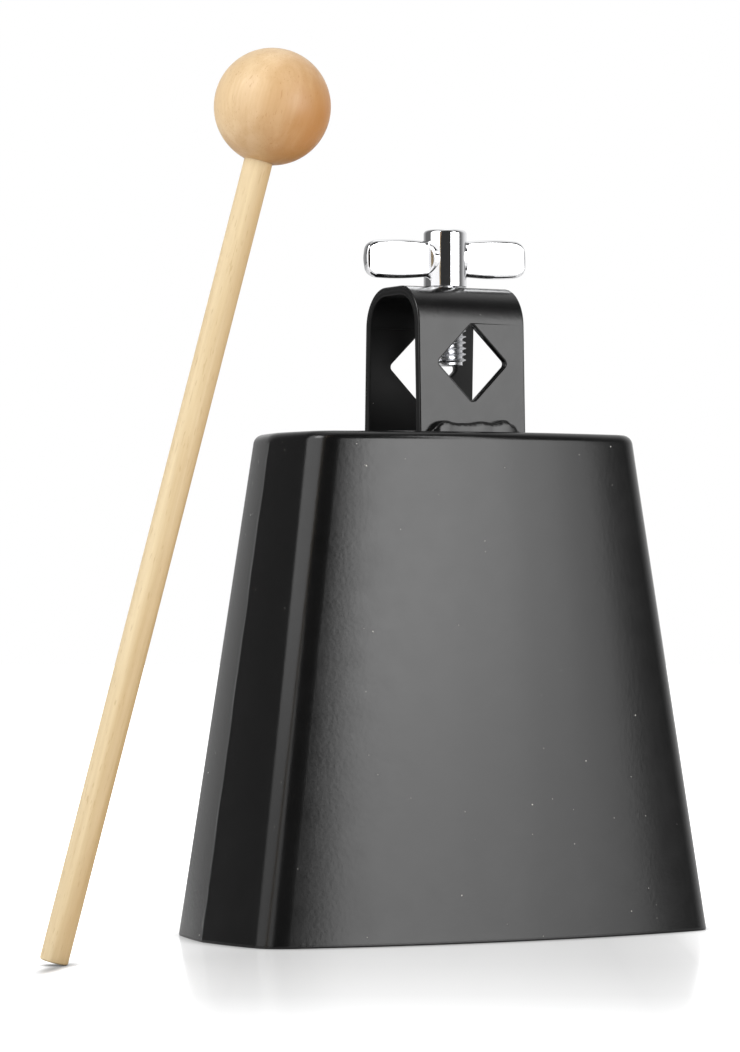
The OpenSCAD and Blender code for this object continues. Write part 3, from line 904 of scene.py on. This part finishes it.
# %% The ball and the stick
socket_depth, socket_gap, chamfer_w, chamfer_h, ball_rings = 18.0, 0.03, 0.25, 0.35, 70
socket_r = stick_radius + socket_gap
rim_at = socket_r + chamfer_w
mouth_angle = 0.5 * pi + atan(sqrt(ball_r ** 2 - rim_at ** 2) / rim_at)
profile = [(0, ball_up - ball_r + socket_depth), (socket_r, ball_up - ball_r + socket_depth)]
profile += [(socket_r, ball_up - sqrt(ball_r ** 2 - socket_r ** 2) + chamfer_h)]
for k in range(ball_rings, 0, -1):
    angle = mouth_angle * k / ball_rings
    profile.append((ball_r * sin(angle), ball_up + ball_r * cos(angle)))
profile.append((0, ball_up + ball_r))
ball = spun("turned_ball", profile, 112)
shade(ball, 40)
finish_piece(ball, "mallet", "ball_wood", ball_wood, "mallet_head")

end_gap, end_chamfer, stick_rings = 0.2, 0.3, 60
stick_top = ball_up - ball_r + socket_depth - end_gap
profile = [(0, 0), (stick_radius - foot_round, 0)]
for k in range(1, 7):
    turn = pi / 2 * k / 6
    profile.append((stick_radius - foot_round * (1 - sin(turn)), foot_round * (1 - cos(turn))))
profile += [(stick_radius, foot_round + (stick_top - foot_round) * k / stick_rings)
            for k in range(1, stick_rings)]
profile += [(stick_radius, stick_top - end_chamfer), (stick_radius - end_chamfer, stick_top),
            (0, stick_top)]
stick = spun("dowel_stick", profile, 64)
shade(stick, 40)
finish_piece(stick, "mallet", "stick_wood", stick_wood, "mallet_stick")

# %% [markdown]
# ## Floor and backdrop
#
# The set stands on a glossy white board. The floor is white under a clear gloss, which reflects most
# at a flat angle, as gloss does, and fades out towards the camera and the sides. For camera rays the
# floor also glows white, and for mirror rays a little, so no horizon shows. A small soft shadow is
# painted into the floor's colour and glow at the mallet's foot, and the floor is painted darker where
# a piece nearly touches it, as contact shade.

# %% The floor
def tone_curve(tree, value, stops):
    """A number that follows a curve of (place, level) stops as value runs from 0 to 1."""
    curve = add_node(tree, "ShaderNodeValToRGB", {"Fac": value})
    elements = curve.color_ramp.elements
    elements.remove(elements[1])
    for i, (place, level) in enumerate(stops):
        stop = elements[0] if i == 0 else elements.new(place)
        stop.position = place
        stop.color = (level, level, level, 1)
    return curve.outputs["Color"]


heading, floor_r, floor_drop, mirror_glow = radians(28), 4, 0.02, 0.15
look, side = Vector((sin(heading), cos(heading), 0)), Vector((cos(heading), -sin(heading), 0))
bm = bmesh.new()
bmesh.ops.create_circle(bm, cap_ends=True, segments=96, radius=floor_r)
bmesh.ops.translate(bm, vec=mm(0, 0, -floor_drop), verts=bm.verts[:])
floor = new_object("floor", bm)
material = bpy.data.materials.new("white_floor")
material.use_nodes = True
tree = material.node_tree
tree.nodes.clear()
rays = add_node(tree, "ShaderNodeLightPath").outputs
mirrored = maths(tree, "MULTIPLY", rays["Is Glossy Ray"], mirror_glow)
seen = maths(tree, "MAXIMUM", rays["Is Camera Ray"], mirrored)
print("floor", floor.dimensions.x, "m across")

# %% Where the floor's gloss shows
place = add_node(tree, "ShaderNodeTexCoord").outputs["Object"]
own = add_node(tree, "ShaderNodeMapping",
               {"Vector": place, "Location": bell_axis, "Rotation": (0, 0, -heading)},
               vector_type="TEXTURE").outputs[0]
own = add_node(tree, "ShaderNodeSeparateXYZ", {0: own}).outputs
forward = maths(tree, "MULTIPLY", own["Y"], -1.0)
ahead = tone_curve(tree, ramp(tree, forward, 0, 1, -0.3, 0.3),
                   [(0, 0), (0.33, 0.6), (0.5, 0.96), (0.615, 1), (0.66, 1), (0.70, 0.98),
                    (0.74, 0.95), (0.78, 0.92), (0.82, 0.84), (0.86, 0.75), (0.97, 0.6)])
aside = maths(tree, "ABSOLUTE", maths(tree, "ADD", own["X"], 0.005))
within = tone_curve(tree, ramp(tree, aside, 0, 1, 0.045, 0.078),
                    [(0, 1), (0.29, 0.93), (0.4, 0.9), (0.54, 0.85), (1, 0.3)])
print("gloss fades with the distance ahead of the bell's axis and beside it")

# %% The painted shadow at the mallet's foot, and the floor's shader
# A painted shadow: an oval by the mallet's resting foot darkens the floor's colour and glow, and stays
# there when the mallet moves.
foot = add_node(tree, "ShaderNodeMapping",
                {"Vector": place, "Location": mallet_foot + side * 0.0005 - look * 0.009,
                 "Rotation": (0, 0, -heading - radians(10)), "Scale": (0.0025, 0.014, 1)},
                vector_type="TEXTURE").outputs[0]
from_foot = add_node(tree, "ShaderNodeVectorMath", {0: foot}, operation="LENGTH").outputs["Value"]
painted_contact_shadow = tone_curve(tree, ramp(tree, from_foot, 0, 1, 0, 2.4),
                     [(0, 0.25), (0.2, 0.35), (0.42, 0.62), (0.67, 0.88), (1, 1)])
# Painted contact shade: occlusion within a few millimetres darkens the floor's colour and glow too.
near = add_node(tree, "ShaderNodeAmbientOcclusion", {"Distance": 0.006}, samples=8).outputs["AO"]
painted_contact_shadow = maths(tree, "MULTIPLY", painted_contact_shadow, near)
glow = maths(tree, "MULTIPLY", painted_contact_shadow, seen)
white = blend_colour(tree, painted_contact_shadow, (0, 0, 0), (0.80, 0.80, 0.80))
matt = add_node(tree, "ShaderNodeBsdfDiffuse", {"Color": white})
shine = add_node(tree, "ShaderNodeEmission", {"Color": (1, 1, 1, 1), "Strength": glow})
gloss = add_node(tree, "ShaderNodeBsdfGlossy", {"Color": (1, 1, 1, 1), "Roughness": 0.13})
lit = add_node(tree, "ShaderNodeAddShader", {0: matt.outputs[0], 1: shine.outputs[0]})
sheen = add_node(tree, "ShaderNodeFresnel", {"IOR": 1.45}).outputs[0]
sheen = maths(tree, "MULTIPLY", maths(tree, "MULTIPLY", ahead, within), sheen)
mix = add_node(tree, "ShaderNodeMixShader", {0: sheen, 1: lit.outputs[0], 2: gloss.outputs[0]})
add_node(tree, "ShaderNodeOutputMaterial", {"Surface": mix.outputs[0]})
floor.data.materials.append(material)
print("floor material", material.name, len(tree.nodes), "nodes")

# %% [markdown]
# The world is white for the camera and one dim fill for the shading. Mirror rays see a studio:
# white paper behind the set, a dim room at the sides and the dark camera in front. Its levels run
# round the bell by azimuth, which is 0 in front and 90 on the right.

# %% The world
world = bpy.data.worlds.new("studio")
bpy.context.scene.world = world
world.use_nodes = True
tree = world.node_tree
tree.nodes.clear()
rays = add_node(tree, "ShaderNodeLightPath").outputs
way = add_node(tree, "ShaderNodeSeparateXYZ",
               {0: add_node(tree, "ShaderNodeTexCoord").outputs["Generated"]}).outputs
azimuth = maths(tree, "ARCTAN2", way["X"], maths(tree, "MULTIPLY", way["Y"], -1.0))
room_light = 0.34
room = [(-180, 0.44), (-165, 0.34), (-152, 0.14), (-112, 0.14), (-60, 0.06), (-45, 0.035), (0, 0.035),
        (50, 0.08), (56, 0.14), (66, 0.16), (80, 0.4), (95, 0.7), (112, 0.85), (160, 0.9), (180, 0.44)]
around = tone_curve(tree, ramp(tree, azimuth, 0, 1, -pi, pi),
                    [((degree + 180) / 360, level) for degree, level in room])
mirror = maths(tree, "MAXIMUM", rays["Is Glossy Ray"], rays["Is Transmission Ray"])
strength = add_node(tree, "ShaderNodeMix", {"Factor": mirror, 2: room_light, 3: around},
                    data_type="FLOAT").outputs[0]
strength = maths(tree, "MAXIMUM", strength, rays["Is Camera Ray"])
sky = add_node(tree, "ShaderNodeBackground", {"Color": (1, 1, 1, 1), "Strength": strength})
add_node(tree, "ShaderNodeOutputWorld", {"Surface": sky.outputs[0]})

# %% [markdown]
# ## Lights
#
# Black gloss shows the lights more than it shows itself. A softbox to the right of the lens fills
# the broad face and fades to its right and its foot, so it is made of upright strips, each dimmer
# than the one before, and each with a dimmer piece below. A second one on the left, dimmer below
# too, puts a band on the corner. The gap between them, round the camera, stays dark and leaves the
# black stripe beside that band. A small one higher up on the left lights the mallet's ball from
# above, and a weak one overhead fills in.

# %% The softboxes
def softbox(name, from_azimuth, to_azimuth, distance, low, high, brightness):
    """An upright area light between two azimuths and two heights that faces the bell."""
    middle = radians((from_azimuth + to_azimuth) / 2)
    half = radians((to_azimuth - from_azimuth) / 2)
    light = bpy.data.lights.new(name, "AREA")
    light.shape, light.size, light.size_y = "RECTANGLE", 2 * distance * tan(half), high - low
    light.energy = brightness * pi * light.size * light.size_y
    lamp = bpy.data.objects.new(name, light)
    bpy.context.scene.collection.objects.link(lamp)
    away = Vector((sin(middle) * distance, -cos(middle) * distance, (low + high) / 2))
    lamp.location = bell_axis + away
    lamp.rotation_euler = (pi / 2, 0, middle)
    lamp.visible_camera = False
    return lamp


strip_away, strip_split, high_share = 1.2, 0.2, 1.06
strips = [(2.5, 13, 0.6, 5.2, 0.78), (13, 22, 0.6, 4.9, 0.79), (22, 33, 1.5, 4.3, 0.8),
          (33, 43, 0.6, 3.1, 0.86), (43, 52, 0.6, 2.0, 1.0)]
for i, (start, end, top, brightness, low_share) in enumerate(strips, 1):
    softbox("right_softbox_%d" % i, start, end, strip_away, strip_split, top, brightness * high_share)
    softbox("right_low_softbox_%d" % i, start, end, strip_away, 0, strip_split, brightness * low_share)
softbox("left_softbox", -110, -56, 0.9, 0.26, 1.3, 1.95)
softbox("left_low_softbox", -110, -56, 0.9, 0.04, 0.26, 0.95)
high = softbox("high_softbox", -88, -64, 0.71, 0.6, 0.9, 5.0)
high.rotation_euler.x = radians(52)
top = softbox("top_softbox", -33, 33, 0.92, 0.0, 1.2, 0.4)
top.location, top.rotation_euler = (0, 0.1, 1.5), (0, 0, 0)

# %% [markdown]
# ## Camera
#
# The lens, its height and its heading were fitted to the bell's outline. Frame, focal length and
# horizon are in pixels. The horizon lies a little under the middle of the frame, so the camera is
# pitched up by about a degree.

# %% The camera
frame_h, focal, horizon = 1052, 4184.5, 592.9
camera_away, camera_aside, camera_up = 1073, 18.83, 86.76
camera = bpy.data.objects.new("camera", bpy.data.cameras.new("camera"))
bpy.context.scene.collection.objects.link(camera)
camera.data.lens = focal / frame_h * camera.data.sensor_width
camera.location = bell_axis - look * camera_away * MM - side * camera_aside * MM + mm(0, 0, camera_up)
camera.rotation_euler = (pi / 2 + atan((horizon - frame_h / 2) / focal), 0, -heading)
camera.data.clip_start, camera.data.clip_end = 0.05, 20
bpy.context.scene.camera = camera
bpy.context.scene.view_settings.view_transform = "Standard"
print("lens", round(camera.data.lens, 2), "camera", [round(v, 4) for v in camera.location])
